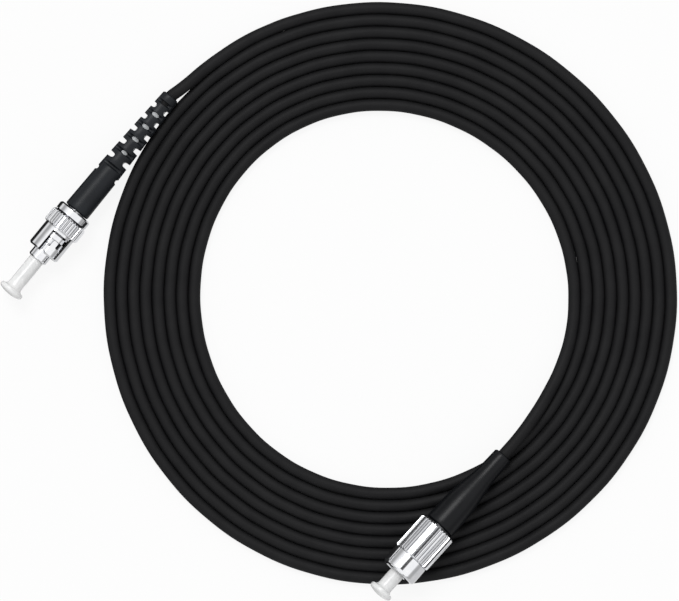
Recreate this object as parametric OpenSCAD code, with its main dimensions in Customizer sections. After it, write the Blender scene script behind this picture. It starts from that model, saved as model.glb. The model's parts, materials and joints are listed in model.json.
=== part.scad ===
// Fibre patch cord: a bayonet (ST) connector on a coiled 3 mm cord, with a screw (FC) connector
// at the cord's far end. Each connector is drawn on its own axis, +X from the front rim of its
// coupling nut towards the boot, and is then set down where it lies.

/* [Cord] */
// Outside diameter of the cord's jacket
cord_d = 3.0; // [2.8:0.05:3.1]
// Outside diameter of the tight-buffered fibre
buffer_d = 0.9; // [0.6:0.05:0.95]
// Bore that the buffered fibre runs in
buffer_bore = 1.0; // [0.96:0.02:1.2]
// Outer radius of the flat coil
coil_out_r = 71.6; // [66:0.2:78]
// Rows of cord side by side in the coil
coil_rows = 8.4; // [6:0.1:9]
// Gap between neighbouring rows
coil_row_gap = 0.025; // [0:0.005:0.05]
// Distance of the coil's centre behind the bayonet nut's front rim
coil_back = 46.2; // [44:0.2:48]
// Gap at which the bayonet boot leans on the coil
lean_gap = 0.2; // [0.12:0.02:0.3]
// Gap under the screw connector where it lies on the coil
lie_gap = 0.05; // [0.02:0.01:0.1]

/* [Ferrules] */
// Diameter of both ferrules
ferrule_d = 2.5; // [2.4:0.01:2.5]
// Bevel round the ferrule's front face
ferrule_bevel = 0.5; // [0.2:0.05:0.7]
// Radial clearance of the dust caps on the ferrules
cap_grip_gap = 0.025; // [0.01:0.005:0.05]
// Depth of the fibre bore in the ferrule's rear
ferrule_back_depth = 4.0; // [3.5:0.1:5]

/* [Bayonet nut] */
// Bore of the bayonet nut
st_nut_bore = 7.1; // [7:0.05:7.3]
// Outside diameter of its smooth front
st_nut_d = 8.65; // [8.3:0.05:9]
// Length of the smooth front
st_nut_front = 6.85; // [6.5:0.05:7.5]
// Outside diameter over the knurl
st_knurl_d = 10.1; // [9.8:0.05:10.6]
// Length of the knurl
st_knurl_len = 4.05; // [3.6:0.05:4.6]
// Width of the groove behind the knurl
st_neck_len = 0.2; // [0.15:0.05:0.4]
// Outside diameter of the rear collar
st_collar_d = 9.15; // [8.7:0.05:9.5]
// Length of the rear collar
st_collar_len = 2.0; // [1.8:0.05:2.4]
// Thickness of the wall that the spring pushes on
st_wall_t = 1.5; // [1.2:0.05:1.8]
// Diameter of the recess in the nut's rear face
st_rear_bore = 7.6; // [7:0.05:7.8]
// Depth of that recess
st_rear_depth = 1.0; // [0.9:0.05:1.1]
// Ridges round each knurl
knurl_count = 36; // [24:2:48]
// Depth of the knurl
knurl_depth = 0.3; // [0.15:0.05:0.4]
// Bevel at the front of the bayonet knurl
st_knurl_front_bevel = 0.35; // [0.2:0.05:0.4]
// Bevel at the rear of the bayonet knurl
st_knurl_rear_bevel = 0.6; // [0.3:0.05:0.7]
// Bevel on the nut's front rim and collar
st_rim_bevel = 0.4; // [0.2:0.05:0.5]

/* [Bayonet slots] */
// Number of J-shaped slots
slot_count = 2; // [2:1:3]
// Arc of the slot's entry and of its locking pocket, in degrees
slot_arc = 25.5; // [20:0.5:30]
// Turn from the entry to the pocket, in degrees
slot_turn = 44; // [36:0.5:50]
// Angle of the entry's middle from the top
slot_entry_angle = -5; // [-15:0.5:15]
// Depth of the slot from the front rim
slot_depth = 6.1; // [5.5:0.05:6.3]
// Width of the crossing stretch, along the axis
slot_cross_w = 2.0; // [1.7:0.05:2.3]
// Depth at which the locking pocket ends
slot_pocket_x = 2.6; // [2.3:0.05:3]
// Rounding of the slot's corners
slot_round = 0.35; // [0.2:0.05:0.5]

/* [Bayonet barrel] */
// Outside diameter of the barrel
st_barrel_d = 5.1; // [5:0.05:5.3]
// Length of barrel ahead of the nut
st_barrel_out = 2.25; // [1.8:0.05:2.8]
// Wall of the barrel round its socket
st_socket_wall = 0.5; // [0.4:0.05:0.55]
// Depth of the socket
st_socket_depth = 6.7; // [6.3:0.05:7.2]
// Place of the barrel's flange behind the nut's rim
st_flange_x = 4.3; // [4:0.05:4.6]
// Thickness of the flange
st_flange_t = 1.25; // [1:0.05:1.4]
// Radial clearance of the flange in the nut
st_flange_gap = 0.25; // [0.1:0.01:0.3]
// Diameter of the stem behind the flange
st_stem_d = 4.9; // [4.7:0.05:5]
// Radial running clearance of the nut on the stem
run_gap = 0.05; // [0.02:0.01:0.1]
// Width of the alignment key
key_w = 1.0; // [0.8:0.05:1.2]
// Length of the alignment key
key_len = 1.6; // [1.2:0.05:1.9]
// Height of the key above the barrel
key_h = 0.55; // [0.4:0.05:0.65]
// Place of the key behind the nut's rim
key_x = 0.6; // [0.4:0.05:1]
// Ferrule length ahead of the barrel
st_ferrule_out = 5.7; // [5.2:0.05:6.2]
// Full length of the bayonet ferrule
st_ferrule_len = 16; // [15:0.1:17]

/* [Bayonet spring and rings] */
// Wire of the bayonet spring
st_wire_d = 0.45; // [0.35:0.01:0.45]
// Turns of the bayonet spring
st_spring_turns = 3.9; // [3:0.1:3.9]
// Gap between the spring's inside and the stem
spring_gap = 0.2; // [0.15:0.01:0.22]
// Thickness of the thrust washer
washer_t = 0.4; // [0.3:0.05:0.5]
// Thickness of the retaining ring
ring_t = 0.45; // [0.35:0.05:0.5]
// Depth of the ring's groove in the stem
ring_groove = 0.25; // [0.2:0.05:0.35]
// Radial height of the retaining ring
ring_h = 0.95; // [0.8:0.05:1]
// Gap between a ring and what it stops
ring_gap = 0.1; // [0.06:0.01:0.12]
// Opening of the rings, in degrees
ring_open = 50; // [30:5:90]

/* [Crimps] */
// Diameter of the bayonet barrel's crimp tail
st_tail_d = 4.0; // [3.8:0.05:4.1]
// Length of the bayonet crimp tail
st_tail_len = 5.2; // [4.5:0.1:5.6]
// Thickness of the strain yarn under a crimp sleeve
yarn_t = 0.25; // [0.2:0.01:0.3]
// Wall of the crimp sleeves
crimp_wall = 0.35; // [0.3:0.01:0.4]
// Length of a crimp sleeve's narrow neck
crimp_neck_len = 6.0; // [5.5:0.1:6.3]
// Bore through the crimp tails
tail_bore = 1.3; // [1.2:0.05:1.6]

/* [Bayonet boot] */
// Length of the bayonet boot
st_boot_len = 37.2; // [36.8:0.1:38.5]
// Radius at the boot's front
st_boot_front_r = 3.4; // [3.3:0.02:3.6]
// Radius where the boot's taper starts
st_boot_mid_r = 3.25; // [3.15:0.02:3.3]
// Radius at the boot's tip
st_boot_tip_r = 2.25; // [2.15:0.02:2.3]
// Gap between each nut and its boot
boot_front_gap = 0.15; // [0.1:0.01:0.3]
// Radial clearance inside both boots
boot_gap = 0.05; // [0.03:0.01:0.08]
// Number of flex cuts
cut_count = 12; // [8:1:12]
// Place of the first cut behind the boot's front
cut_start = 11.95; // [11.9:0.05:12.4]
// Distance between the first two cuts
cut_pitch = 2.37; // [2.3:0.01:2.4]
// Amount by which each distance between cuts shrinks
cut_shrink = 0.06; // [0.04:0.01:0.07]
// Width of the side notches
notch_w = 1.35; // [1.1:0.05:1.4]
// Width of the upper and lower slots
flex_slot_w = 1.05; // [0.9:0.05:1.2]
// Half thickness of the web that the deep cuts leave
web_half = 1.2; // [1.1:0.05:1.4]
// Extra web at the first cut
web_extra = 1.5; // [1.3:0.05:1.6]
// Flare of each cut's mouth to a side
cut_flare = 0.12; // [0.05:0.01:0.2]
// Length of the jacket's grip inside the tip
tip_grip = 4.0; // [3.5:0.1:4.4]
// Height of the boot tip's axis above the table
st_tip_h = 3.5; // [3.4:0.02:3.7]

/* [Dust caps] */
// Outside diameter of the caps' tubes
cap_tube_d = 3.9; // [3.7:0.02:3.96]
// Thickness of the caps' flanged heads at the rim
cap_rim_t = 1.3; // [1:0.05:1.6]
// Height of the caps' domed ends
cap_dome = 0.5; // [0.3:0.05:0.9]
// Fillet between a cap's tube and its head
cap_fillet = 0.9; // [0.5:0.05:1]
// Diameter of the bayonet cap's head
st_cap_d = 6.5; // [6.2:0.05:7]
// Space between a ferrule's face and the cap's bottom
cap_end_gap = 0.5; // [0.3:0.05:0.8]
// Bayonet cap's head ahead of the nut's rim
st_cap_head_x = 11.6; // [11.2:0.1:12.5]
// Reach of the bayonet cap's tube into the barrel
st_cap_reach = 3.0; // [2:0.1:5]
// Diameter of the screw cap's head
fc_cap_d = 6.3; // [6:0.05:6.8]
// Screw cap's head ahead of its nut's rim
fc_cap_head_x = 5.5; // [5.3:0.1:6.5]
// Reach of the screw cap's tube behind its nut's rim
fc_cap_reach = 4.3; // [3:0.1:4.4]

/* [Screw nut] */
// Bore of the screw nut, over the crests of its thread
fc_nut_bore = 7.3; // [7.2:0.02:7.5]
// Outside diameter of its smooth front
fc_nut_d = 9.65; // [9.2:0.05:9.8]
// Length of the smooth front
fc_nut_front = 4.9; // [4.5:0.05:5.4]
// Rounding of the nut's front rim
fc_nut_round = 0.9; // [0.5:0.05:1]
// Outside diameter over the knurl
fc_knurl_d = 10.1; // [9.9:0.05:10.6]
// Full length of the nut
fc_nut_len = 15.4; // [15:0.05:15.8]
// Bevel at the front of the screw nut's knurl
fc_knurl_front_bevel = 0.4; // [0.25:0.05:0.5]
// Bevel at the nut's rear
fc_knurl_rear_bevel = 0.75; // [0.4:0.05:0.9]
// Forward travel of the screw nut
fc_nut_travel = 3.8; // [3:0.05:3.85]

/* [Screw connector body] */
// Outside diameter of the keyed frame
fc_frame_d = 6.0; // [5.9:0.02:6.1]
// Start of the frame behind the nut's rim
fc_frame_x = 2.2; // [1.5:0.1:2.8]
// Bore of the frame round the ferrule's front
fc_front_bore = 4.3; // [4.2:0.02:4.6]
// Front face of the frame's inner wall
fc_wall_x = 4.6; // [4.5:0.05:4.8]
// Thickness of the inner wall
fc_wall_t = 0.9; // [0.6:0.05:1]
// Radial clearance of the ferrule in the inner wall
fc_float_gap = 0.1; // [0.05:0.01:0.15]
// Bore of the spring chamber
fc_chamber_d = 4.8; // [4.7:0.02:4.9]
// Front face of the frame's flange
fc_flange_x = 7.0; // [6.6:0.05:7.1]
// Thickness of the frame's flange
fc_flange_t = 1.2; // [1:0.05:1.25]
// Radial clearance of the frame's flange in the nut
fc_flange_gap = 0.1; // [0.05:0.01:0.15]
// Width of the frame's key
fc_key_w = 2.0; // [1.8:0.05:2.2]
// Length of the frame's key
fc_key_len = 3.0; // [2.5:0.1:3.6]
// Height of the frame's key
fc_key_h = 0.5; // [0.3:0.02:0.54]
// Place of the screw ferrule's tip ahead of the nut's rim
fc_ferrule_out = 3.7; // [3.4:0.05:4.2]
// Length of the screw ferrule
fc_ferrule_len = 12.7; // [12.3:0.1:12.8]
// Diameter of the ferrule holder's flange
fc_holder_d = 4.6; // [4.4:0.02:4.64]
// Thickness of the holder's flange
fc_holder_t = 1.4; // [1.2:0.05:1.6]
// Wall of the holder round the ferrule
fc_holder_wall = 0.25; // [0.2:0.01:0.3]
// Length of the holder behind the ferrule
fc_holder_end = 0.5; // [0.3:0.05:0.8]
// Wire of the ferrule spring
fc_wire_d = 0.4; // [0.3:0.01:0.42]
// Turns of the ferrule spring
fc_spring_turns = 6.5; // [5:0.5:8]
// Front face of the back post's flange
fc_post_x = 13.0; // [12.95:0.05:13.2]
// Thickness of the back post's flange
fc_post_t = 0.9; // [0.7:0.05:1.1]
// Diameter of the back post's flange
fc_post_d = 7.0; // [6.8:0.02:7.1]
// Length of the back post's spigot in the frame
fc_spigot_len = 1.2; // [1:0.05:1.4]
// Thickness of the nut's snap ring
fc_snap_t = 0.6; // [0.5:0.02:0.62]
// Depth of the snap ring's groove in the nut
fc_snap_groove = 0.3; // [0.2:0.02:0.35]
// Gap between the snap ring and its groove
fc_snap_gap = 0.05; // [0.03:0.01:0.06]
// Diameter of the back post's crimp tail
fc_tail_d = 4.4; // [4.2:0.02:4.5]
// End of the crimp tail behind the nut's rim
fc_tail_end = 19.0; // [18.5:0.1:19.3]

/* [Screw connector boot] */
// Length of the screw connector's boot
fc_boot_len = 24; // [23:0.1:26]
// Radius at the boot's front
fc_boot_front_r = 4.05; // [3.8:0.02:4.2]
// Radius at the boot's tip
fc_boot_tip_r = 2.42; // [2.3:0.02:2.6]
// Place where the boot starts to narrow
fc_boot_bend = 6.0; // [5.5:0.1:6.6]
// Place where the boot has narrowed
fc_boot_slim = 20; // [19:0.5:21]

/* [Screw connector place] */
// Front rim of the screw nut from the coil's centre, along the bayonet axis
fc_from_coil_x = -51.7; // [-53:0.1:-50]
// Front rim of the screw nut from the coil's centre, across the bayonet axis
fc_from_coil_y = -45.5; // [-47:0.1:-44]
// Turn of the screw connector from the bayonet axis, in degrees
fc_yaw = -2.9; // [-5:0.1:0]

/* [Hidden] */
$fn = 72;
eps = 0.01;

cord_r = cord_d / 2;
ferrule_r = ferrule_d / 2;
cap_bore_r = ferrule_r + cap_grip_gap;

// Bayonet connector, stations along its axis
st_nut_len = st_nut_front + st_knurl_len + st_neck_len + st_collar_len;
st_wall_end = st_nut_len - st_rear_depth;
st_wall_x = st_wall_end - st_wall_t;
st_washer_x = st_wall_x - washer_t;
st_flange_end = st_flange_x + st_flange_t;
st_ring_x = st_wall_end + ring_gap;
st_stem_end = st_nut_len + boot_front_gap;
st_tail_end = st_stem_end + st_tail_len;
st_boot_x = st_nut_len + boot_front_gap;
st_tip_x = st_boot_x + st_boot_len;
st_knurl_end = st_nut_front + st_knurl_len;
st_ferrule_x = -st_barrel_out - st_ferrule_out;
st_ferrule_end = st_ferrule_x + st_ferrule_len;
st_socket_end = st_socket_depth - st_barrel_out;
st_stem_r = st_stem_d / 2;
st_groove_r = st_stem_r - ring_groove;

// Crimp sleeves: a wide end over the tail and its yarn, and a neck round the cord
neck_step = 0.4;
st_sleeve_x = st_stem_end + 0.1;
st_sleeve_r = st_tail_d / 2 + yarn_t;
st_neck_x = st_tail_end + neck_step;
st_neck_end = st_neck_x + crimp_neck_len;
fc_boot_x = fc_nut_len + boot_front_gap;
fc_tip_x = fc_boot_x + fc_boot_len;
fc_sleeve_x = fc_post_x + fc_post_t + 0.1;
fc_sleeve_r = fc_tail_d / 2 + yarn_t;
fc_neck_x = fc_tail_end + neck_step;
fc_neck_end = fc_neck_x + crimp_neck_len;
neck_r = cord_r + crimp_wall;

// Screw connector, stations along its axis
fc_ferrule_end = fc_ferrule_len - fc_ferrule_out;
fc_wall_end = fc_wall_x + fc_wall_t;
fc_holder_x = fc_wall_end + ring_gap;
fc_spigot_x = fc_post_x - fc_spigot_len;
fc_snap_x = fc_flange_x + fc_flange_t + fc_nut_travel + 2 * ring_gap + fc_snap_gap;

// The bayonet connector stands on the rear edge of its knurl and leans on the coil by its boot
st_foot_x = st_knurl_end - st_knurl_rear_bevel;
st_foot_r = st_knurl_d / 2;
st_lean_len = st_tip_x - st_foot_x;
st_tilt = acos(st_tip_h / norm([st_foot_r, st_lean_len])) - atan2(st_lean_len, st_foot_r);
st_z = st_foot_x * sin(st_tilt) + st_foot_r * cos(st_tilt);
st_cap_end_x = -st_cap_head_x - cap_rim_t - cap_dome;
st_x = -((st_tip_x + st_cap_end_x) * cos(st_tilt) + st_boot_tip_r * sin(st_tilt)) / 2;

// The coil lies against the boot's tip
coil_r_in = coil_out_r - coil_rows * (cord_d + coil_row_gap);
coil_x = st_x + coil_back;
lean_reach = cord_r + st_boot_tip_r + lean_gap;
coil_y = cord_r - coil_out_r - sqrt(pow(lean_reach, 2) - pow(st_tip_h - cord_r, 2));

// The screw connector lies on the coil by its knurl and by its boot's tip
fc_foot_x = fc_nut_len - fc_knurl_rear_bevel;
fc_foot_r = fc_knurl_d / 2;
fc_tilt = atan((fc_foot_r - fc_boot_tip_r) / (fc_tip_x - fc_foot_x));
fc_at = [
    coil_x + fc_from_coil_x,
    coil_y + fc_from_coil_y,
    cord_d + lie_gap + fc_foot_x * sin(fc_tilt) + fc_foot_r * cos(fc_tilt)
];
fc_dir = [cos(fc_tilt) * cos(fc_yaw), cos(fc_tilt) * sin(fc_yaw), -sin(fc_tilt)];

function st_point(x) = [st_x + x * cos(st_tilt), 0, st_z - x * sin(st_tilt)];
function fc_point(x) = fc_at + x * fc_dir;

// Routes of the two leads: inside the boot, then down to the coil
st_route = [
    st_point(st_tip_x - tip_grip), st_point(st_tip_x), [37, -0.3, 3.3], [43, -1.6, 2.9],
    [49, -4, 2.4], [55, -7, 1.9], [61, -11, 1.6], [66, -15, 1.5]
];
fc_route = [
    fc_point(fc_neck_x), fc_point(fc_neck_x + 7), fc_point(fc_neck_x + 14), fc_point(fc_tip_x),
    [21, -121.3, 5], [27, -120.9, 4.3], [34, -120, 3.4], [42, -118, 2.4], [50, -114.6, 1.7],
    [57, -110, 1.5]
];

// Points of a round corner, as [x, r] pairs
function corner(cx, cr, rad, a0, a1, n = 5) =
    [for (i = [0:n]) let (a = a0 + (a1 - a0) * i / n) [cx + rad * cos(a), cr + rad * sin(a)]];

function unit(v) = v / norm(v);

// Direction of a route at its point i
function heading(p, i) = unit(p[min(i + 1, len(p) - 1)] - p[max(i - 1, 0)]);

// Ring of n points round p, square to direction t
function ring_at(p, t, r, n, up) = let (s = unit(cross(t, up)), w = cross(s, t))
    [for (k = [0:n - 1]) p + r * (cos(360 * k / n) * s + sin(360 * k / n) * w)];

// A closed tube swept along points
module tube(points, r, n, up) {
    count = len(points);
    skin = [for (i = [0:count - 1]) each ring_at(points[i], heading(points, i), r, n, up)];
    sides = [for (i = [0:count - 2], k = [0:n - 1])
        [i * n + k, i * n + (k + 1) % n, (i + 1) * n + (k + 1) % n, (i + 1) * n + k]];
    first = [for (k = [n - 1:-1:0]) k];
    last = [for (k = [0:n - 1]) (count - 1) * n + k];
    polyhedron(skin, concat(sides, [first, last]), convexity = 10);
}

// A solid of revolution about the X axis from [x, r] pairs
module turned(profile) {
    rotate([0, 90, 0])
        rotate_extrude()
            polygon([for (p = profile) [p[1], p[0]]]);
}

// A plain turned ring or rod
module turned_ring(x0, x1, r_out, r_in = 0) {
    turned([[x0, r_in], [x0, r_out], [x1, r_out], [x1, r_in]]);
}

// A sector of a ring about the X axis, from angle a0 on, measured from the top towards -Y
module sector(x0, x1, r_in, r_out, a0, arc) {
    rotate([0, 90, 0])
        rotate([0, 0, 180 + a0])
            rotate_extrude(angle = arc)
                translate([r_in, x0])
                    square([r_out - r_in, x1 - x0]);
}

// Ridged band: a ridged bar trimmed by a bevelled turned blank
module knurl(x0, x1, r, bevel0, bevel1) {
    step = 360 / knurl_count;
    low = r - knurl_depth;
    intersection() {
        rotate([0, 90, 0])
            translate([0, 0, x0])
                linear_extrude(x1 - x0)
                    polygon([for (i = [0:knurl_count - 1], c = [[-0.16, r], [0.16, r], [0.36, low], [0.64, low]])
                        c[1] * [cos((i + c[0]) * step), sin((i + c[0]) * step)]]);
        turned([
            [x0, 0], [x0, r - bevel0], [x0 + bevel0, r + eps], [x1 - bevel1, r + eps],
            [x1, r - bevel1], [x1, 0]
        ]);
    }
}

// Helical spring between two faces on the X axis
module coil_spring(x0, x1, mean_r, wire_d, turns) {
    steps = ceil(turns * 14);
    run = x1 - x0 - wire_d;
    path = [for (i = [0:steps]) let (a = 360 * turns * i / steps)
        [x0 + wire_d / 2 + run * i / steps, mean_r * cos(a), mean_r * sin(a)]];
    tube(path, wire_d / 2, 6, [1, 0, 0]);
}

// Crimp sleeve with a wide end and a neck
module crimp(x0, wide_r, neck_x, neck_end) {
    turned([
        [x0, wide_r], [x0, wide_r + crimp_wall], [neck_x - neck_step, wide_r + crimp_wall],
        [neck_x, neck_r], [neck_end, neck_r], [neck_end, cord_r], [neck_x - 0.1, cord_r],
        [neck_x - neck_step, wide_r]
    ]);
}

// Dust cap: a tube over the ferrule with a round flanged head
module dust_cap(head_x, head_d, tube_end, ferrule_x) {
    tube_r = cap_tube_d / 2;
    head_r = head_d / 2;
    rim_x = -head_x - cap_rim_t;
    turned(concat(
        [[rim_x - cap_dome, 0]],
        [for (i = [1:6]) [rim_x - cap_dome * (1 - pow(i / 6, 2)), (head_r - 0.35) * i / 6]],
        [[rim_x + 0.35, head_r], [-head_x - 0.3, head_r]],
        [[-head_x, head_r - 0.3]],
        corner(-head_x + cap_fillet, tube_r + cap_fillet, cap_fillet, 180, 270),
        [[tube_end - 0.2, tube_r], [tube_end, tube_r - 0.2], [tube_end, cap_bore_r]],
        [[ferrule_x - cap_end_gap, cap_bore_r], [ferrule_x - cap_end_gap, 0]]
    ));
}

// Ferrule with a bevelled front and a bore for the buffered fibre behind
module ferrule(x0, length) {
    turned([
        [x0, 0], [x0, ferrule_r - ferrule_bevel * 0.6], [x0 + ferrule_bevel, ferrule_r],
        [x0 + length - 0.15, ferrule_r], [x0 + length, ferrule_r - 0.15],
        [x0 + length, buffer_bore / 2], [x0 + length - ferrule_back_depth, buffer_bore / 2],
        [x0 + length - ferrule_back_depth - 0.4, 0]
    ]);
}

// Lays the bayonet connector down
module place_st() {
    translate([st_x, 0, st_z])
        rotate([0, st_tilt, 0])
            children();
}

// Lays the screw connector down
module place_fc() {
    translate(fc_at)
        rotate([0, fc_tilt, fc_yaw])
            children();
}

module st_dust_cap() {
    color("whitesmoke")
        place_st()
            dust_cap(st_cap_head_x, st_cap_d, st_cap_reach - st_barrel_out, st_ferrule_x);
}

module st_ferrule() {
    color("ivory")
        place_st()
            ferrule(st_ferrule_x, st_ferrule_len);
}

// Socket barrel with key, spring flange, stem and crimp tail
module st_barrel() {
    r = st_barrel_d / 2;
    socket_r = r - st_socket_wall;
    groove_x = key_x + key_len + 0.15;
    color("silver")
        place_st()
            union() {
                turned([
                    [-st_barrel_out, socket_r + 0.15], [-st_barrel_out, r - 0.25],
                    [-st_barrel_out + 0.25, r], [groove_x, r], [groove_x, r - 0.2],
                    [groove_x + 0.4, r - 0.2], [groove_x + 0.4, r], [st_flange_x, r],
                    [st_flange_x, st_nut_bore / 2 - st_flange_gap],
                    [st_flange_end, st_nut_bore / 2 - st_flange_gap],
                    [st_flange_end, st_stem_r], [st_ring_x - 0.05, st_stem_r],
                    [st_ring_x - 0.05, st_groove_r], [st_ring_x + ring_t + 0.05, st_groove_r],
                    [st_ring_x + ring_t + 0.05, st_stem_r], [st_stem_end, st_stem_r],
                    [st_stem_end, st_tail_d / 2], [st_tail_end, st_tail_d / 2],
                    [st_tail_end, tail_bore / 2], [st_ferrule_end, tail_bore / 2],
                    [st_ferrule_end, ferrule_r], [st_socket_end, ferrule_r],
                    [st_socket_end, socket_r], [-st_barrel_out + 0.15, socket_r]
                ]);
                translate([key_x, -key_w / 2, r - 0.2])
                    cube([key_len, key_w, key_h + 0.2]);
            }
}

module st_buffer() {
    color("khaki")
        place_st()
            turned_ring(st_ferrule_end - ferrule_back_depth + 0.1, st_tip_x - tip_grip, buffer_d / 2);
}

module st_spring() {
    mean_r = st_stem_r + spring_gap + st_wire_d / 2;
    color("lightsteelblue")
        place_st()
            coil_spring(st_flange_end, st_washer_x, mean_r, st_wire_d, st_spring_turns);
}

module st_thrust_washer() {
    color("gainsboro")
        place_st()
            turned_ring(st_washer_x, st_wall_x, st_nut_bore / 2 - run_gap, st_stem_r + run_gap);
}

// One J-shaped slot through the wall: entry, crossing stretch and locking pocket
module j_slot() {
    half_out = st_nut_d / 2 * sin((slot_turn + slot_arc) / 2);
    half_in = st_nut_d / 2 * sin((slot_turn - slot_arc) / 2);
    c = slot_round;
    tongue_x = slot_depth - slot_cross_w;
    rotate([slot_entry_angle + slot_turn / 2, 0, 0])
        translate([0, 0, 1])
            linear_extrude(st_nut_d / 2)
                polygon(concat(
                    [[-1, half_in], [-1, half_out]],
                    corner(slot_depth - c, half_out - c, c, 90, 0),
                    corner(slot_depth - c, c - half_out, c, 0, -90),
                    corner(slot_pocket_x + c, c - half_out, c, -90, -180),
                    corner(slot_pocket_x + c, -half_in - c, c, 180, 90),
                    corner(tongue_x - c, c - half_in, c, -90, 0),
                    corner(tongue_x - c, half_in - c, c, 0, 90)
                ));
}

// Bayonet nut: slotted front, knurled band and plain collar
module st_coupling_nut() {
    bore_r = st_nut_bore / 2;
    r = st_nut_d / 2;
    neck_x = st_knurl_end + st_neck_len;
    collar_r = st_collar_d / 2;
    hole_r = st_stem_r + run_gap;
    color("silver")
        place_st()
            difference() {
                union() {
                    turned([
                        [0, 0], [0, r - st_rim_bevel], [st_rim_bevel, r], [st_nut_front + 0.2, r],
                        [st_nut_front + 0.2, r - 0.2], [neck_x, r - 0.2], [neck_x, collar_r],
                        [st_nut_len - st_rim_bevel, collar_r], [st_nut_len, collar_r - st_rim_bevel],
                        [st_nut_len, 0]
                    ]);
                    knurl(st_nut_front, st_knurl_end, st_knurl_d / 2, st_knurl_front_bevel,
                        st_knurl_rear_bevel);
                }
                turned([
                    [-eps, 0], [-eps, bore_r + 0.1], [0.1, bore_r], [st_wall_x, bore_r],
                    [st_wall_x, hole_r], [st_wall_end, hole_r], [st_wall_end, st_rear_bore / 2],
                    [st_nut_len + eps, st_rear_bore / 2], [st_nut_len + eps, 0]
                ]);
                for (i = [0:slot_count - 1])
                    rotate([i * 360 / slot_count, 0, 0])
                        j_slot();
            }
}

module st_retaining_ring() {
    color("dimgray")
        place_st()
            sector(st_ring_x, st_ring_x + ring_t, st_groove_r, st_groove_r + ring_h,
                ring_open / 2, 360 - ring_open);
}

module st_strain_yarn() {
    color("gold")
        place_st()
            turned_ring(st_sleeve_x + 0.4, st_tail_end, st_sleeve_r, st_tail_d / 2);
}

module st_crimp_sleeve() {
    color("darkgray")
        place_st()
            crimp(st_sleeve_x, st_sleeve_r, st_neck_x, st_neck_end);
}

// Pale inner tube of the cord, between the crimp and the boot's tip
module st_inner_tube() {
    color("gainsboro")
        place_st()
            turned_ring(st_neck_x, st_tip_x - tip_grip, cord_r, buffer_bore / 2);
}

// Outline of one flex cut, from its round floor out to its flared mouth
module cut_outline(w, cut_floor) {
    mouth = st_boot_front_r + 1;
    translate([0, cut_floor + w / 2])
        circle(d = w);
    polygon([
        [-w / 2, cut_floor + w / 2], [w / 2, cut_floor + w / 2], [w / 2 + cut_flare, mouth],
        [-w / 2 - cut_flare, mouth]
    ]);
}

// Tapered boot, cut from the sides and from above and below in turn
module st_boot() {
    sleeve_r = st_sleeve_r + crimp_wall + boot_gap;
    taper_x = st_boot_x + cut_start - 0.5;
    color("dimgray")
        place_st()
            difference() {
                turned([
                    [st_boot_x, sleeve_r], [st_boot_x, st_boot_front_r - 0.3],
                    [st_boot_x + 0.3, st_boot_front_r], [taper_x, st_boot_mid_r],
                    [st_tip_x - 0.3, st_boot_tip_r], [st_tip_x, st_boot_tip_r - 0.3],
                    [st_tip_x, cord_r + boot_gap], [st_neck_end + 0.1, cord_r + boot_gap],
                    [st_neck_end + 0.1, neck_r + boot_gap], [st_neck_x + 0.1, neck_r + boot_gap],
                    [st_neck_x + 0.1, sleeve_r]
                ]);
                for (i = [0:cut_count - 1]) {
                    cut_x = st_boot_x + cut_start + cut_pitch * i - cut_shrink * i * (i - 1) / 2;
                    cut_floor = web_half + web_extra * exp(-0.9 * i);
                    for (side = [0, 180])
                        translate([cut_x, 0, 0])
                            rotate([side + (i % 2) * 90, 0, 0])
                                linear_extrude(2 * st_boot_front_r + 1, center = true)
                                    cut_outline(i % 2 == 0 ? notch_w : flex_slot_w, cut_floor);
                }
            }
}

module fc_dust_cap() {
    color("whitesmoke")
        place_fc()
            dust_cap(fc_cap_head_x, fc_cap_d, fc_cap_reach, -fc_ferrule_out);
}

module fc_ferrule() {
    color("ivory")
        place_fc()
            ferrule(-fc_ferrule_out, fc_ferrule_len);
}

// Flanged holder that the spring pushes forward
module fc_ferrule_holder() {
    tube_r = ferrule_r + fc_holder_wall;
    holder_end = fc_ferrule_end + fc_holder_end;
    color("goldenrod")
        place_fc()
            turned([
                [fc_holder_x, ferrule_r], [fc_holder_x, fc_holder_d / 2],
                [fc_holder_x + fc_holder_t, fc_holder_d / 2], [fc_holder_x + fc_holder_t, tube_r],
                [holder_end, tube_r], [holder_end, buffer_bore / 2],
                [fc_ferrule_end, buffer_bore / 2], [fc_ferrule_end, ferrule_r]
            ]);
}

module fc_ferrule_spring() {
    mean_r = (ferrule_r + fc_holder_wall + fc_chamber_d / 2) / 2;
    color("lightsteelblue")
        place_fc()
            coil_spring(fc_holder_x + fc_holder_t, fc_spigot_x, mean_r, fc_wire_d, fc_spring_turns);
}

// Keyed frame that carries the ferrule and guides the nut
module fc_frame() {
    r = fc_frame_d / 2;
    flange_r = fc_nut_bore / 2 - fc_flange_gap;
    color("silver")
        place_fc()
            union() {
                turned([
                    [fc_frame_x, fc_front_bore / 2], [fc_frame_x, r - 0.25],
                    [fc_frame_x + 0.25, r], [fc_flange_x, r], [fc_flange_x, flange_r],
                    [fc_flange_x + fc_flange_t, flange_r], [fc_flange_x + fc_flange_t, r],
                    [fc_post_x, r], [fc_post_x, fc_chamber_d / 2],
                    [fc_wall_end, fc_chamber_d / 2], [fc_wall_end, ferrule_r + fc_float_gap],
                    [fc_wall_x, ferrule_r + fc_float_gap], [fc_wall_x, fc_front_bore / 2]
                ]);
                translate([fc_frame_x + 0.3, -fc_key_w / 2, r - 0.3])
                    cube([fc_key_len, fc_key_w, fc_key_h + 0.3]);
            }
}

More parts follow.
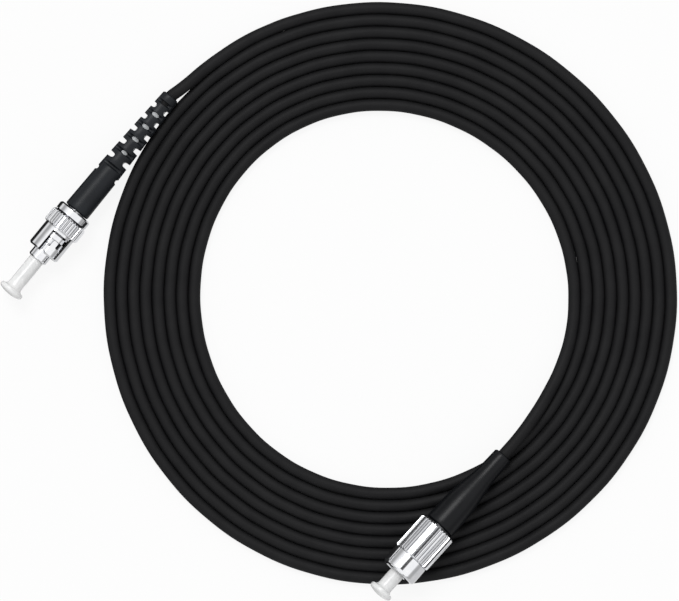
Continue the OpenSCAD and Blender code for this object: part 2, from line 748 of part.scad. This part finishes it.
// Back post: spigot in the frame, flange and crimp tail
module fc_back_post() {
    color("silver")
        place_fc()
            turned([
                [fc_spigot_x, tail_bore / 2], [fc_spigot_x, fc_chamber_d / 2],
                [fc_post_x, fc_chamber_d / 2], [fc_post_x, fc_post_d / 2],
                [fc_post_x + fc_post_t, fc_post_d / 2], [fc_post_x + fc_post_t, fc_tail_d / 2],
                [fc_tail_end, fc_tail_d / 2], [fc_tail_end, tail_bore / 2]
            ]);
}

// Open ring in the nut's groove, which stops against the frame's flange
module fc_snap_ring() {
    groove_r = fc_nut_bore / 2 + fc_snap_groove;
    color("dimgray")
        place_fc()
            sector(fc_snap_x, fc_snap_x + fc_snap_t, fc_frame_d / 2 + run_gap,
                groove_r - fc_snap_gap, ring_open / 2, 360 - ring_open);
}

// Screw nut: smooth front and long knurl, with a groove inside for the snap ring
module fc_coupling_nut() {
    bore_r = fc_nut_bore / 2;
    r = fc_nut_d / 2;
    groove_r = bore_r + fc_snap_groove;
    groove_x0 = fc_snap_x - fc_snap_gap;
    groove_x1 = fc_snap_x + fc_snap_t + fc_snap_gap;
    color("silver")
        place_fc()
            difference() {
                union() {
                    turned(concat(
                        [[0, 0], [0, r - fc_nut_round]],
                        corner(fc_nut_round, r - fc_nut_round, fc_nut_round, 180, 90),
                        [[fc_nut_front, r], [fc_nut_front + 0.3, r - 0.3], [fc_nut_len - 1, r - 0.3]],
                        [[fc_nut_len - 1, 0]]
                    ));
                    knurl(fc_nut_front + 0.1, fc_nut_len, fc_knurl_d / 2, fc_knurl_front_bevel,
                        fc_knurl_rear_bevel);
                }
                turned([
                    [-eps, 0], [-eps, bore_r + 0.3], [0.3, bore_r], [groove_x0, bore_r],
                    [groove_x0, groove_r], [groove_x1, groove_r], [groove_x1, bore_r],
                    [fc_nut_len + eps, bore_r], [fc_nut_len + eps, 0]
                ]);
            }
}

module fc_strain_yarn() {
    color("gold")
        place_fc()
            turned_ring(fc_sleeve_x + 0.2, fc_tail_end, fc_sleeve_r, fc_tail_d / 2);
}

module fc_crimp_sleeve() {
    color("darkgray")
        place_fc()
            crimp(fc_sleeve_x, fc_sleeve_r, fc_neck_x, fc_neck_end);
}

module fc_buffer() {
    color("khaki")
        place_fc()
            turned_ring(fc_ferrule_end - ferrule_back_depth + 1.3, fc_neck_x, buffer_d / 2);
}

// Boot with an S-shaped taper
module fc_boot() {
    sleeve_r = fc_sleeve_r + crimp_wall + boot_gap;
    shoulder_r = fc_boot_front_r - 0.1;
    slim_r = fc_boot_tip_r + 0.12;
    run = fc_boot_slim - fc_boot_bend;
    color("dimgray")
        place_fc()
            turned(concat(
                [[fc_boot_x, sleeve_r], [fc_boot_x, fc_boot_front_r - 0.4]],
                [[fc_boot_x + 0.4, fc_boot_front_r], [fc_boot_x + 1.5, fc_boot_front_r]],
                [for (i = [0:10]) [fc_boot_x + fc_boot_bend + run * i / 10,
                    slim_r + (shoulder_r - slim_r) * (1 + cos(18 * i)) / 2]],
                [[fc_tip_x - 0.3, fc_boot_tip_r], [fc_tip_x, fc_boot_tip_r - 0.3]],
                [[fc_tip_x, cord_r + boot_gap], [fc_neck_end + 0.1, cord_r + boot_gap]],
                [[fc_neck_end + 0.1, neck_r + boot_gap], [fc_neck_x + 0.1, neck_r + boot_gap]],
                [[fc_neck_x + 0.1, sleeve_r]]
            ));
}

module cord_lead_st() {
    color("dimgray")
        tube(st_route, cord_r, 8, [0, 0, 1]);
}

// Outer form of the flat coil
module cord_coil() {
    color("dimgray")
        translate([coil_x, coil_y, 0])
            rotate_extrude()
                union() {
                    translate([coil_r_in + cord_r, 0])
                        square([coil_out_r - coil_r_in - cord_d, cord_d]);
                    for (edge_r = [coil_r_in + cord_r, coil_out_r - cord_r])
                        translate([edge_r, cord_r])
                            circle(d = cord_d);
                }
}

module cord_lead_fc() {
    color("dimgray")
        tube(fc_route, cord_r, 8, [0, 0, 1]);
}

st_dust_cap();
st_ferrule();
st_barrel();
st_buffer();
st_spring();
st_thrust_washer();
st_coupling_nut();
st_retaining_ring();
st_strain_yarn();
st_crimp_sleeve();
st_inner_tube();
st_boot();
fc_dust_cap();
fc_ferrule();
fc_ferrule_holder();
fc_ferrule_spring();
fc_frame();
fc_back_post();
fc_snap_ring();
fc_coupling_nut();
fc_strain_yarn();
fc_crimp_sleeve();
fc_buffer();
fc_boot();
cord_lead_st();
cord_coil();
cord_lead_fc();
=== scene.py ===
import json
import math

import bpy
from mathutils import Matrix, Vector


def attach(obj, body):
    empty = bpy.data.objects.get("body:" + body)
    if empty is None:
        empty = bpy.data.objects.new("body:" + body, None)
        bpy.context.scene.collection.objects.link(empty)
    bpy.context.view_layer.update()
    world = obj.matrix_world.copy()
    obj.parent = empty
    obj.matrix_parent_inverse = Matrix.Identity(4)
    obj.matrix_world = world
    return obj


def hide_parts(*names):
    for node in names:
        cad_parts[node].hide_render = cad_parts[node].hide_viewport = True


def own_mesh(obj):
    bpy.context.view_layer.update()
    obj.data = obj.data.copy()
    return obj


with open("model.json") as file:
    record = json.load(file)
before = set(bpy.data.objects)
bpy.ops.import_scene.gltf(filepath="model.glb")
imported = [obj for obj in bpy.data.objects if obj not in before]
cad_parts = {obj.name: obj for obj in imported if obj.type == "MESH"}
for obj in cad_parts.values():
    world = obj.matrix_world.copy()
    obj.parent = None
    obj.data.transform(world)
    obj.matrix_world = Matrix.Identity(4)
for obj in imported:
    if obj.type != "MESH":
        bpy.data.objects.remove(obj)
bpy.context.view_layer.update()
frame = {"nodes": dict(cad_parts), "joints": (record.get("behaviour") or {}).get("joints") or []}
nodes = frame["nodes"]
joints = {j["name"]: j for j in frame["joints"]}

MM = 0.001

# ---------------------------------------------------------------- sizes, in metres

CORD_D = 3.0 * MM
# Extra radius, so that neighbouring turns touch and no floor shows between them
CORD_TOUCH = 0.03 * MM
# How far the cord reaches into each boot
CORD_IN_ST = 4 * MM
CORD_IN_FC = 14 * MM

# The coil is a flat spiral, wound clockwise from its outer end
COIL_CENTRE = Vector((27.4, -73.3, 0)) * MM
COIL_START_R = 72.25 * MM
COIL_PITCH = 3.025 * MM
COIL_START_DEG = 79.4
COIL_PULL_DEG = 70.4
# Height of the two and three waves round the coil that take it off a true circle
COIL_PULL = (0.38 * MM, 0.25 * MM)
COIL_JOIN_DEG = 48
COIL_TURNS = 8.51
COIL_LEAVE_TURNS = 0.17
COIL_STEPS_A_TURN = 30

# Leads from each boot to the coil in mm, within a cord's diameter of those in the part's source
LEAD_ST = [(34.4, -0.62, 3.5), (37.5, -1.3, 3.3), (42, -2.1, 2.9), (48, -3.6, 2.4), (54, -5.55, 1.9),
           (60, -8.3, 1.6), (66, -11.8, 1.5)]
LEAD_FC = [(21, -121.2, 4.9), (27, -120.9, 4.2), (34, -120, 3.4), (42, -118.1, 2.6),
           (50, -114.7, 1.9), (56.9, -109.95, 1.5)]

# The camera looks straight down on VIEW_CENTRE from VIEW_HEIGHT above it
VIEW_CENTRE = Vector((19.15, -64.9, 3.0)) * MM
VIEW_TURN = math.radians(-50.62)
VIEW_WIDTH = 169.75 * MM
VIEW_HEIGHT = 1.3
SENSOR_MM = 36


def axis_line(joint_name):
    """Point on a connector's axis and its direction towards the boot."""
    j = joints[joint_name]
    return Vector(j["pos_m"]), -Vector(j["axis"]).normalized()


ST_POINT, ST_DIR = axis_line("st_nut_turn")
FC_POINT, FC_DIR = axis_line("fc_nut_turn")


def far_point(point, direction, node):
    """Centre of a node's end that lies furthest along a connector's axis."""
    reach = max((v.co - point).dot(direction) for v in nodes[node].data.vertices)
    return point + direction * reach


ST_TIP = far_point(ST_POINT, ST_DIR, "st_boot")
FC_TIP = far_point(FC_POINT, FC_DIR, "fc_boot")


def place(name, data):
    """A new object in the scene that shows the given data."""
    obj = bpy.data.objects.new(name, data)
    bpy.context.scene.collection.objects.link(obj)
    return obj


# ---------------------------------------------------------------- camera

def make_camera():
    """Looks straight down on the part, turned as the picture is."""
    data = bpy.data.cameras.new("camera")
    data.sensor_width = SENSOR_MM
    data.lens = SENSOR_MM * VIEW_HEIGHT / VIEW_WIDTH
    data.clip_start = 0.05
    data.clip_end = 10
    cam = place("camera", data)
    cam.location = VIEW_CENTRE + Vector((0, 0, VIEW_HEIGHT))
    cam.rotation_euler = (0, 0, VIEW_TURN)
    bpy.context.scene.camera = cam


make_camera()


# ---------------------------------------------------------------- cord

def coil_point(turns):
    """Centre of the cord after so many turns of the coil."""
    angle = math.radians(COIL_START_DEG - 360 * turns)
    pulled = angle - math.radians(COIL_PULL_DEG)
    r = COIL_START_R - COIL_PITCH * turns
    r += COIL_PULL[0] * math.cos(2 * pulled) + COIL_PULL[1] * math.cos(3 * pulled)
    return COIL_CENTRE + Vector((r * math.cos(angle), r * math.sin(angle), CORD_D / 2 + CORD_TOUCH))


def cord_route():
    """Centreline from inside the bayonet boot, through the coil, to inside the screw boot."""
    points = [ST_TIP - ST_DIR * CORD_IN_ST, ST_TIP]
    points += [Vector(p) * MM for p in LEAD_ST]
    first = (COIL_START_DEG - COIL_JOIN_DEG) / 360
    last = COIL_TURNS - COIL_LEAVE_TURNS
    steps = round((last - first) * COIL_STEPS_A_TURN)
    points += [coil_point(first + (last - first) * i / steps) for i in range(steps + 1)]
    points += [Vector(p) * MM for p in reversed(LEAD_FC)]
    points += [FC_TIP, FC_TIP - FC_DIR * CORD_IN_FC]
    return points


def make_tube(name, points, radius):
    """A round tube, as a mesh, along a smooth curve through the points."""
    data = bpy.data.curves.new(name, "CURVE")
    data.dimensions = "3D"
    data.bevel_depth = radius
    data.bevel_resolution = 6
    data.resolution_u = 8
    data.use_fill_caps = True
    spline = data.splines.new("BEZIER")
    spline.bezier_points.add(len(points) - 1)
    for knot, point in zip(spline.bezier_points, points):
        knot.co = point
        knot.handle_left_type = "AUTO"
        knot.handle_right_type = "AUTO"
    curve = place(name, data)
    bpy.context.view_layer.update()
    mesh = bpy.data.meshes.new_from_object(curve.evaluated_get(bpy.context.evaluated_depsgraph_get()))
    bpy.data.objects.remove(curve)
    return place(name, mesh)


def soft_spring(node):
    """Copy of a spring, held by the root body, in place of the part's own."""
    piece = place(node + "_coil", nodes[node].data.copy())
    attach(piece, "root")
    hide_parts(node)
    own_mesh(piece)
    return piece


springs = {"st_spring": soft_spring("st_spring"),
           "fc_ferrule_spring": soft_spring("fc_ferrule_spring")}

ROUTE = cord_route()
cord = make_tube("patch_cord", ROUTE, CORD_D / 2 + CORD_TOUCH)
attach(cord, "root")
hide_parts("cord_lead_st", "cord_coil", "cord_lead_fc")


# ---------------------------------------------------------------- materials

def new_material(name):
    """A material with its node tree and its one shader."""
    mat = bpy.data.materials.new(name)
    mat.use_nodes = True
    tree = mat.node_tree
    shader = tree.nodes["Principled BSDF"]
    return mat, tree, shader


def local_coordinates(tree, direction, stretch=(1, 1, 1)):
    """Coordinates in metres whose X runs along a connector's axis."""
    coord = tree.nodes.new("ShaderNodeTexCoord")
    mapping = tree.nodes.new("ShaderNodeMapping")
    turn = direction.to_track_quat("X", "Z").to_matrix().inverted().to_euler()
    mapping.inputs["Rotation"].default_value = turn
    mapping.inputs["Scale"].default_value = stretch
    tree.links.new(coord.outputs["Object"], mapping.inputs["Vector"])
    return mapping.outputs["Vector"]


def noise(tree, vector, scale, detail=4, roughness=0.5):
    """Fractal noise from 0 to 1, with so many cells a metre."""
    node = tree.nodes.new("ShaderNodeTexNoise")
    node.inputs["Scale"].default_value = scale
    node.inputs["Detail"].default_value = detail
    node.inputs["Roughness"].default_value = roughness
    tree.links.new(vector, node.inputs["Vector"])
    return node.outputs["Fac"]


def ramp(tree, value, low, high, lo_at=0.3, hi_at=0.7):
    """Maps a 0 to 1 value between two colours."""
    node = tree.nodes.new("ShaderNodeValToRGB")
    node.color_ramp.elements[0].position = lo_at
    node.color_ramp.elements[1].position = hi_at
    node.color_ramp.elements[0].color = (*low, 1)
    node.color_ramp.elements[1].color = (*high, 1)
    tree.links.new(value, node.inputs["Fac"])
    return node.outputs["Color"]


def remap(tree, value, low, high):
    """Maps a 0 to 1 value between two numbers."""
    node = tree.nodes.new("ShaderNodeMapRange")
    node.inputs["To Min"].default_value = low
    node.inputs["To Max"].default_value = high
    tree.links.new(value, node.inputs["Value"])
    return node.outputs["Result"]


def bump(tree, shader, height, strength, distance):
    """Shallow relief from a 0 to 1 height."""
    node = tree.nodes.new("ShaderNodeBump")
    node.inputs["Strength"].default_value = strength
    node.inputs["Distance"].default_value = distance
    tree.links.new(height, node.inputs["Height"])
    tree.links.new(node.outputs["Normal"], shader.inputs["Normal"])


def add(tree, a, b, share):
    """a plus share times b."""
    node = tree.nodes.new("ShaderNodeMath")
    node.operation = "MULTIPLY_ADD"
    tree.links.new(b, node.inputs[0])
    node.inputs[1].default_value = share
    tree.links.new(a, node.inputs[2])
    return node.outputs["Value"]


PLATED_LOW = (0.84, 0.85, 0.88)
PLATED_HIGH = (0.93, 0.935, 0.95)
HOLLOW_REACH = 0.8 * MM
# Near-black grey painted into the metal's hollows as shade
HOLLOW_SHADE = (0.02, 0.02, 0.025, 1)


def turned_metal(name, direction, low, high, rough=(0.05, 0.12), ring_scale=5000):
    """Bright metal with fine turning marks round a connector's axis, faint stains, and painted shade in its
    hollows.
    """
    mat, tree, shader = new_material(name)
    vector = local_coordinates(tree, direction)
    marks = noise(tree, local_coordinates(tree, direction, (1, 0.02, 0.02)), ring_scale, 3)
    stain = noise(tree, vector, 450, 5)
    # Painted shade: an ambient-occlusion mask darkens the base colour to a near-black grey in hollows, slots
    # and grooves, where shade falls
    hollow = tree.nodes.new("ShaderNodeAmbientOcclusion")
    hollow.samples = 8
    hollow.inputs["Distance"].default_value = HOLLOW_REACH
    hollow_shade_mix = tree.nodes.new("ShaderNodeMix")
    hollow_shade_mix.data_type = "RGBA"
    hollow_shade_mix.inputs["A"].default_value = HOLLOW_SHADE
    clear = ramp(tree, hollow.outputs["AO"], (0, 0, 0), (1, 1, 1), 0.35, 0.8)
    tree.links.new(clear, hollow_shade_mix.inputs["Factor"])
    tree.links.new(ramp(tree, stain, low, high), hollow_shade_mix.inputs["B"])
    tree.links.new(hollow_shade_mix.outputs["Result"], shader.inputs["Base Color"])
    tree.links.new(remap(tree, add(tree, stain, marks, 0.4), *rough), shader.inputs["Roughness"])
    shader.inputs["Metallic"].default_value = 1
    bump(tree, shader, marks, 0.06, 0.01 * MM)
    return mat


def moulded(name, direction, low, high, rough, specular=0.5, grain=2600, depth=0.15, coat=0.0):
    """Moulded plastic or rubber with a fine grain and slight mottling."""
    mat, tree, shader = new_material(name)
    vector = local_coordinates(tree, direction)
    grain_fac = noise(tree, vector, grain, 6, 0.6)
    cloud = noise(tree, vector, 180, 3)
    tree.links.new(ramp(tree, cloud, low, high), shader.inputs["Base Color"])
    tree.links.new(remap(tree, grain_fac, *rough), shader.inputs["Roughness"])
    shader.inputs["Specular IOR Level"].default_value = specular
    shader.inputs["Coat Weight"].default_value = coat
    bump(tree, shader, add(tree, grain_fac, cloud, 0.6), depth, 0.03 * MM)
    return mat


def cap_plastic(direction):
    """Milky translucent plastic."""
    mat = moulded("cap_plastic", direction, (0.96, 0.97, 0.97), (0.99, 0.99, 0.99), (0.18, 0.3),
                  grain=1200, depth=0.03)
    shader = mat.node_tree.nodes["Principled BSDF"]
    shader.inputs["Transmission Weight"].default_value = 0.1
    shader.inputs["Subsurface Weight"].default_value = 0.2
    shader.inputs["Subsurface Radius"].default_value = (0.002, 0.002, 0.002)
    shader.inputs["Subsurface Scale"].default_value = 1
    shader.inputs["IOR"].default_value = 1.5
    return mat


def woven_yarn(direction):
    """Yellow strain yarn, combed along the cord."""
    mat, tree, shader = new_material("strain_yarn")
    strands = noise(tree, local_coordinates(tree, direction, (0.05, 1, 1)), 6000, 4)
    tree.links.new(ramp(tree, strands, (0.55, 0.4, 0.06), (0.9, 0.76, 0.25)), shader.inputs["Base Color"])
    tree.links.new(remap(tree, strands, 0.6, 0.9), shader.inputs["Roughness"])
    bump(tree, shader, strands, 0.6, 0.05 * MM)
    return mat


def dress(node, mat):
    """Give a node, or the spring that stands for it, its one material."""
    data = springs.get(node, nodes[node]).data
    data.materials.clear()
    data.materials.append(mat)


jacket = moulded("cord_jacket", Vector((1, 0, 0)), (0.008, 0.008, 0.0088), (0.0115, 0.0115, 0.0123),
                 (0.5, 0.7), specular=0.14, grain=2200, depth=0.25)
cord.data.materials.append(jacket)

for prefix, direction in (("st_", ST_DIR), ("fc_", FC_DIR)):
    plated = turned_metal(prefix + "plated", direction, PLATED_LOW, PLATED_HIGH)
    wire = turned_metal(prefix + "wire", direction, (0.5, 0.51, 0.52), (0.66, 0.67, 0.68), (0.2, 0.35), 2000)
    crimp = turned_metal(prefix + "crimp", direction, (0.6, 0.6, 0.62), (0.72, 0.72, 0.74), (0.25, 0.4))
    ceramic = moulded(prefix + "ceramic", direction, (0.86, 0.85, 0.8), (0.9, 0.89, 0.85), (0.05, 0.12),
                      grain=900, depth=0.02)
    buffer = moulded(prefix + "buffer", direction, (0.7, 0.66, 0.42), (0.8, 0.76, 0.5), (0.3, 0.5))
    yarn = woven_yarn(direction)
    for part, mat in (("dust_cap", cap_plastic(direction)), ("ferrule", ceramic), ("barrel", plated),
                      ("buffer", buffer), ("spring", wire), ("thrust_washer", plated),
                      ("coupling_nut", plated), ("retaining_ring", wire), ("strain_yarn", yarn),
                      ("crimp_sleeve", crimp), ("ferrule_holder", plated), ("ferrule_spring", wire),
                      ("frame", plated), ("back_post", plated), ("snap_ring", wire)):
        if prefix + part in nodes:
            dress(prefix + part, mat)

dress("st_inner_tube", moulded("inner_tube", ST_DIR, (0.5, 0.52, 0.53), (0.6, 0.62, 0.63), (0.35, 0.5)))
dress("st_boot", moulded("st_boot_rubber", ST_DIR, (0.009, 0.0105, 0.013), (0.014, 0.0165, 0.02),
                         (0.36, 0.48), specular=0.22))
dress("fc_boot", moulded("fc_boot_rubber", FC_DIR, (0.003, 0.0034, 0.0045), (0.005, 0.0055, 0.007),
                         (0.3, 0.4), specular=0.2))


# ---------------------------------------------------------------- softened edges

def soften(node, width, angle=30, segments=2):
    """Rounds a node's sharp edges and smooths its shading."""
    obj = nodes[node]
    weld = obj.modifiers.new("weld", "WELD")
    weld.merge_threshold = 0.001 * MM
    edge = obj.modifiers.new("edge", "BEVEL")
    edge.width = width
    edge.segments = segments
    edge.limit_method = "ANGLE"
    edge.angle_limit = math.radians(angle)
    edge.harden_normals = True
    for face in obj.data.polygons:
        face.use_smooth = True


for node, width in (("st_boot", 0.12), ("fc_boot", 0.1), ("st_dust_cap", 0.1), ("fc_dust_cap", 0.1)):
    soften(node, width * MM)


# ---------------------------------------------------------------- stage and light

# What polished metal mirrors, as pairs of degrees and grey. TENT and BARS run across the connectors, from
# straight overhead, and BAR_WINDOW limits the dark bars to a band along them.
TENT = [(-180, 0.85), (-150, 0.62), (-92, 0.6), (-82, 0.4), (-66, 0.42), (-56, 1.0), (50, 1.0),
        (64, 0.62), (70, 0.42), (84, 0.36), (93, 0.75), (107, 0.8), (114, 0.015), (162, 0.015), (180, 0.3)]
BARS = [(-180, 0.0), (-13, 0.0), (-10, 1.0), (5, 1.0), (8, 0.0), (17, 0.0), (19, 0.9), (27, 0.9),
        (30, 0.0)]
BAR_WINDOW = [(-90, 0.0), (7, 0.0), (9, 1.0), (16, 1.0), (18, 0.0)]


FLOOR_HALF = 1.5
FLOOR_GREY = (0.93, 0.93, 0.93, 1)
FLOOR_GLOW = 0.88
WHITE = (1, 1, 1, 1)


def math_node(tree, operation, *values):
    """One step of arithmetic on numbers or outputs of other nodes."""
    node = tree.nodes.new("ShaderNodeMath")
    node.operation = operation
    for slot, value in zip(node.inputs, values):
        if isinstance(value, (int, float)):
            slot.default_value = value
        else:
            tree.links.new(value, slot)
    return node.outputs["Value"]


def seen_directly(tree, path):
    """1 for a ray from the camera, straight or through a clear surface."""
    return math_node(tree, "MAXIMUM", path.outputs["Is Camera Ray"], path.outputs["Is Transmission Ray"])


def make_floor():
    """A pale table that shows white and keeps a faint shadow."""
    mesh = bpy.data.meshes.new("floor")
    corners = [(x * FLOOR_HALF, y * FLOOR_HALF, 0) for x, y in ((-1, -1), (1, -1), (1, 1), (-1, 1))]
    mesh.from_pydata(corners, [], [(0, 1, 2, 3)])
    obj = place("floor", mesh)
    mat = bpy.data.materials.new("floor")
    mat.use_nodes = True
    tree = mat.node_tree
    tree.nodes.clear()
    out = tree.nodes.new("ShaderNodeOutputMaterial")
    paint = tree.nodes.new("ShaderNodeBsdfDiffuse")
    paint.inputs["Color"].default_value = FLOOR_GREY
    glow = tree.nodes.new("ShaderNodeEmission")
    glow.inputs["Color"].default_value = WHITE
    path = tree.nodes.new("ShaderNodeLightPath")
    share = math_node(tree, "MULTIPLY", seen_directly(tree, path), FLOOR_GLOW)
    mix = tree.nodes.new("ShaderNodeMixShader")
    tree.links.new(share, mix.inputs["Fac"])
    tree.links.new(paint.outputs["BSDF"], mix.inputs[1])
    tree.links.new(glow.outputs["Emission"], mix.inputs[2])
    tree.links.new(mix.outputs["Shader"], out.inputs["Surface"])
    mesh.materials.append(mat)
    obj.visible_glossy = False


def grey_ramp(tree, value, stops):
    """Grey ramp over degrees from -180 to 180."""
    node = tree.nodes.new("ShaderNodeValToRGB")
    elements = node.color_ramp.elements
    elements.remove(elements[0])
    first_degrees, first_grey = stops[0]
    elements[0].position = (first_degrees + 180) / 360
    elements[0].color = (first_grey, first_grey, first_grey, 1)
    for degrees, grey in stops[1:]:
        element = elements.new((degrees + 180) / 360)
        element.color = (grey, grey, grey, 1)
    tree.links.new(value, node.inputs["Fac"])
    return node.outputs["Color"]


def make_world(strength):
    """White to the eye, soft light on the object, and a photographer's tent in reflections."""
    world = bpy.data.worlds.new("world")
    world.use_nodes = True
    tree = world.node_tree
    back = tree.nodes["Background"]
    coord = tree.nodes.new("ShaderNodeTexCoord")
    axes = tree.nodes.new("ShaderNodeSeparateXYZ")
    tree.links.new(coord.outputs["Generated"], axes.inputs["Vector"])
    across = math_node(tree, "ARCTAN2", axes.outputs["Y"], axes.outputs["Z"])
    along = math_node(tree, "ARCSINE", axes.outputs["X"])
    full_turn = 2 * math.pi
    across = math_node(tree, "MULTIPLY_ADD", across, 1 / full_turn, 0.5)
    along = math_node(tree, "MULTIPLY_ADD", along, 1 / full_turn, 0.5)
    tent = grey_ramp(tree, across, TENT)
    bars = grey_ramp(tree, across, BARS)
    window = grey_ramp(tree, along, BAR_WINDOW)
    shade = math_node(tree, "MULTIPLY", bars, window)
    shade = math_node(tree, "SUBTRACT", 1, shade)
    tent = math_node(tree, "MULTIPLY", tent, shade)
    path = tree.nodes.new("ShaderNodeLightPath")
    plain = math_node(tree, "SUBTRACT", tent, strength)
    light = math_node(tree, "MULTIPLY_ADD", path.outputs["Is Glossy Ray"], plain, strength)
    tree.links.new(math_node(tree, "MAXIMUM", light, seen_directly(tree, path)), back.inputs["Strength"])
    back.inputs["Color"].default_value = WHITE
    bpy.context.scene.world = world


def make_sun(direction, strength, spread):
    """Soft sunlight from a direction, as wide as its spread in degrees."""
    data = bpy.data.lights.new("sun", "SUN")
    data.energy = strength
    data.angle = math.radians(spread)
    obj = place("sun", data)
    obj.rotation_mode = "QUATERNION"
    obj.rotation_quaternion = (-Vector(direction)).to_track_quat("-Z", "Y")


make_floor()
make_world(strength=0.6)
make_sun(direction=(0.3, 0.5, 1), strength=1.2, spread=25)
bpy.context.scene.view_settings.view_transform = "Standard"


# ---------------------------------------------------------------- update

bpy.context.view_layer.update()
